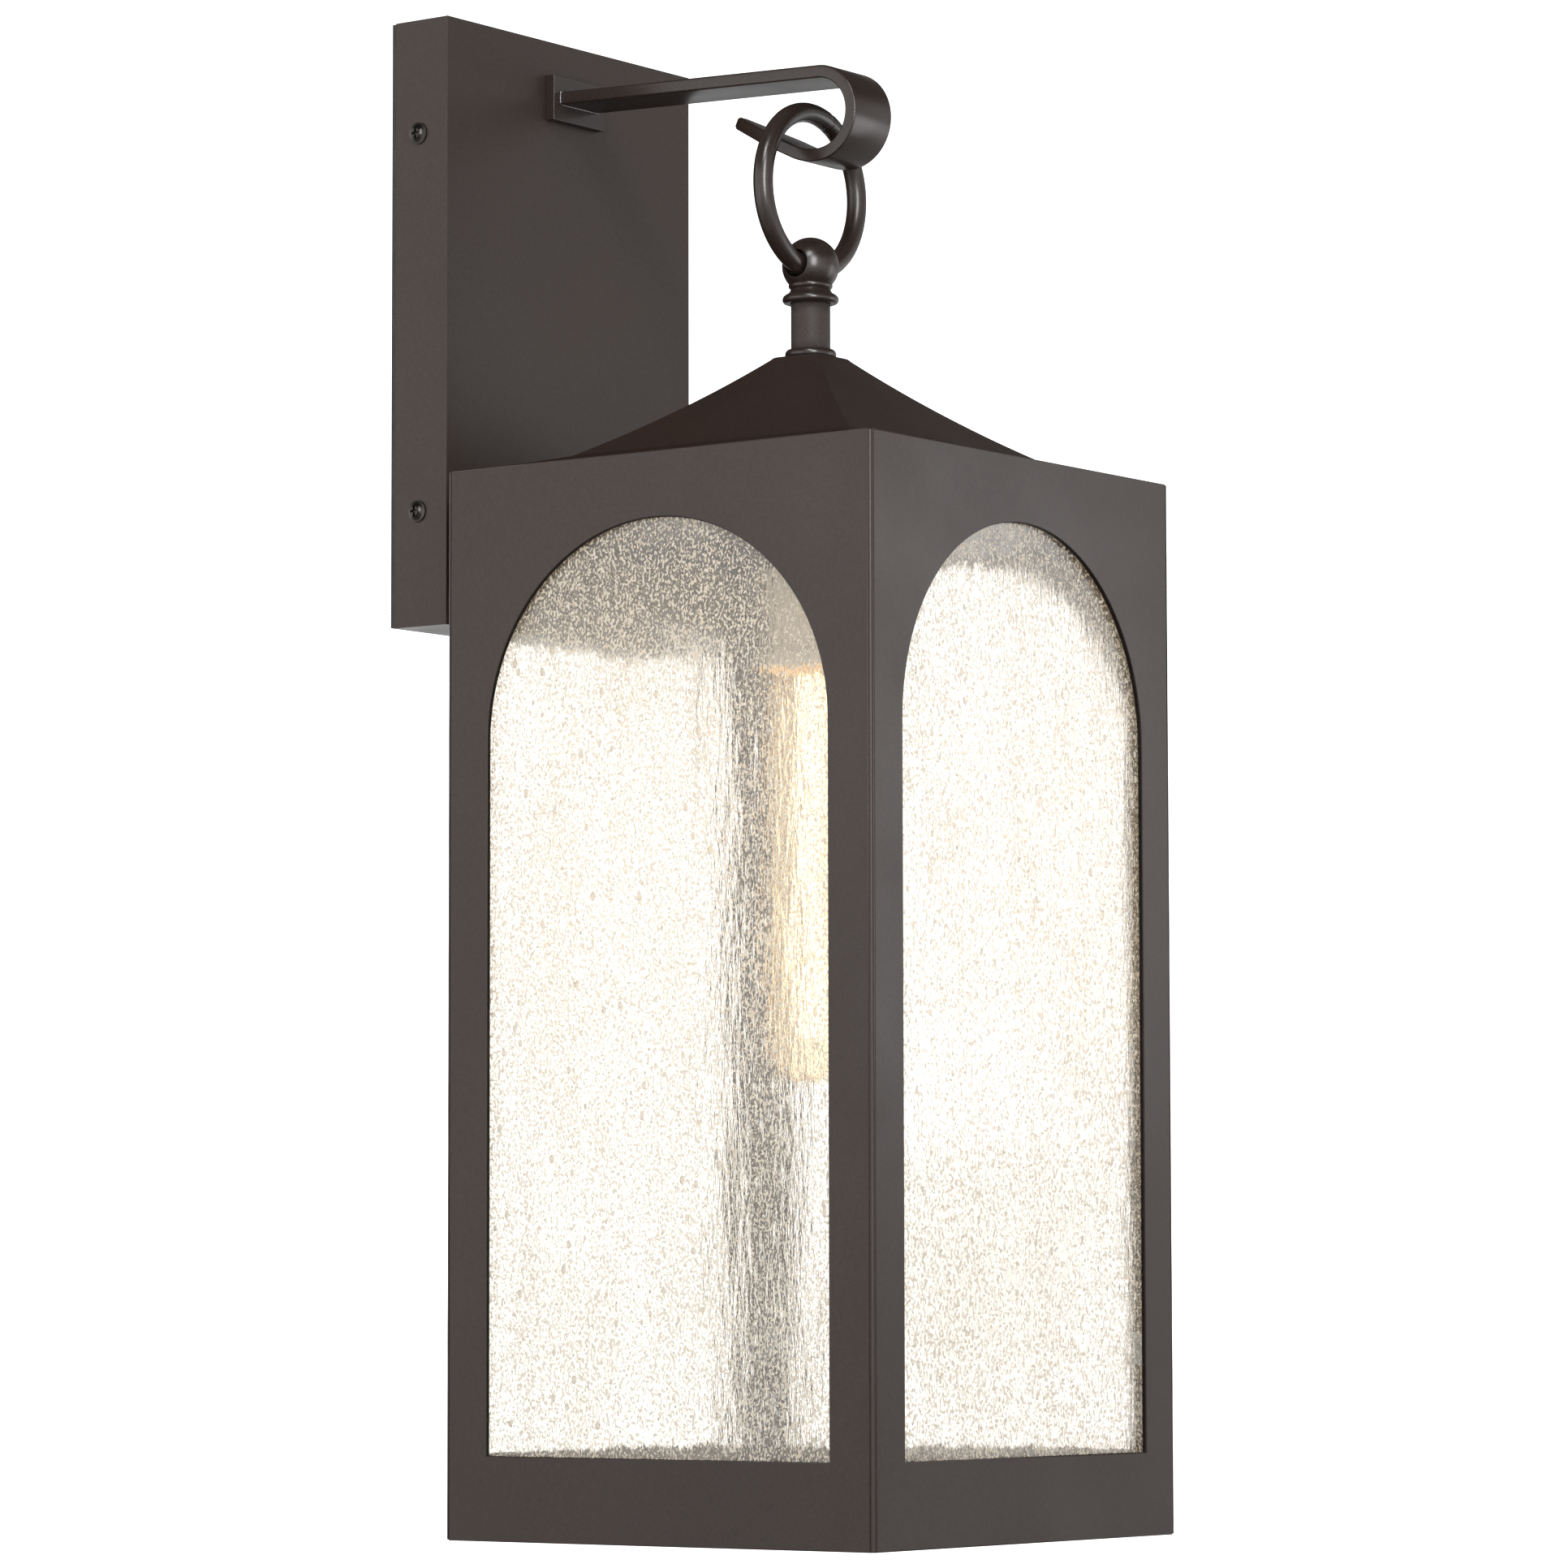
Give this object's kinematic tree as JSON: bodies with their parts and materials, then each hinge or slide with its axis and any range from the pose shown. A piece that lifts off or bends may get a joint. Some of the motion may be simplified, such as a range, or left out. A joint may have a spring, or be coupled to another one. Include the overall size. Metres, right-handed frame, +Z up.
{
  "type": "outdoor wall lantern",
  "caption": "Square bronze wall lantern with arched seeded-glass windows, a hipped roof, and a ring and curled hook arm over its backplate; lit tubular bulb inside.",
  "frame": {"origin": "centre of the wall-box screw pattern, on the wall plane behind the backplate", "axes": "+Y into the wall, +Z up, +X to the right of someone who faces the lantern"},
  "size_m": [0.19, 0.235, 0.563],
  "materials": {
    "bronze_paint": "satin powder coat, dark bronze",
    "blackened_screw": "satin",
    "zinc_steel": "zinc plated, semi-matt",
    "black_rubber": "matt",
    "green_screw": "dyed plating",
    "orange_plastic": "matt moulded",
    "black_insulation": "matt",
    "white_insulation": "matt",
    "bare_copper": "bare wire",
    "seeded_glass": "clear glass with fine seeds",
    "brass_fitting": "plain",
    "porcelain": "glazed",
    "bulb_glass": "clear warm glass",
    "stem_glass": "clear",
    "contact_metal": "solder",
    "glowing_filament": "lit filament"
  },
  "bodies": {
    "lantern": {"backplate": "bronze_paint", "mounting_bracket": "zinc_steel", "wall_gasket": "black_rubber", "side_screws": "blackened_screw", "ground_screw": "green_screw", "wire_connectors": "orange_plastic", "arm_flange": "bronze_paint", "hook_arm": "bronze_paint", "arm_screws": "zinc_steel", "feed_nipple": "zinc_steel", "feed_sleeve": "bronze_paint", "feed_locknuts": "zinc_steel", "spacer_sleeves": "bronze_paint", "spacer_bolts": "zinc_steel", "spacer_nuts": "zinc_steel", "front_panel": "bronze_paint", "back_panel": "bronze_paint", "left_panel": "bronze_paint", "right_panel": "bronze_paint", "bottom_frame": "bronze_paint", "top_deck": "bronze_paint", "roof": "bronze_paint", "front_glass": "seeded_glass", "back_glass": "seeded_glass", "left_glass": "seeded_glass", "right_glass": "seeded_glass", "glass_tabs": "zinc_steel", "roof_collar": "bronze_paint", "stem_tube": "bronze_paint", "eye_knob": "bronze_paint", "stem_nipple": "zinc_steel", "stem_locknuts": "zinc_steel", "deck_grommet": "black_rubber", "live_lead": "black_insulation", "neutral_lead": "white_insulation", "earth_lead": "bare_copper", "socket_cap": "brass_fitting", "socket_body": "porcelain", "socket_shell": "brass_fitting", "socket_contact": "brass_fitting"},
    "ring": {"hanging_ring": "bronze_paint"},
    "bulb": {"bulb_glass": "bulb_glass", "bulb_base": "brass_fitting", "bulb_contact": "contact_metal", "bulb_stem": "stem_glass", "bulb_filaments": "glowing_filament"}
  },
  "joints": [
    {"name": "ring_rock", "type": "hinge", "parent": "lantern", "child": "ring", "pos_m": [0, -0.14, 0.0181], "axis": [1, 0, 0], "range_deg": [-10, 19]},
    {"name": "bulb_out", "type": "slide", "parent": "lantern", "child": "bulb", "axis": [0, 0, -1], "range_m": [0, 0.36]}
  ]
}
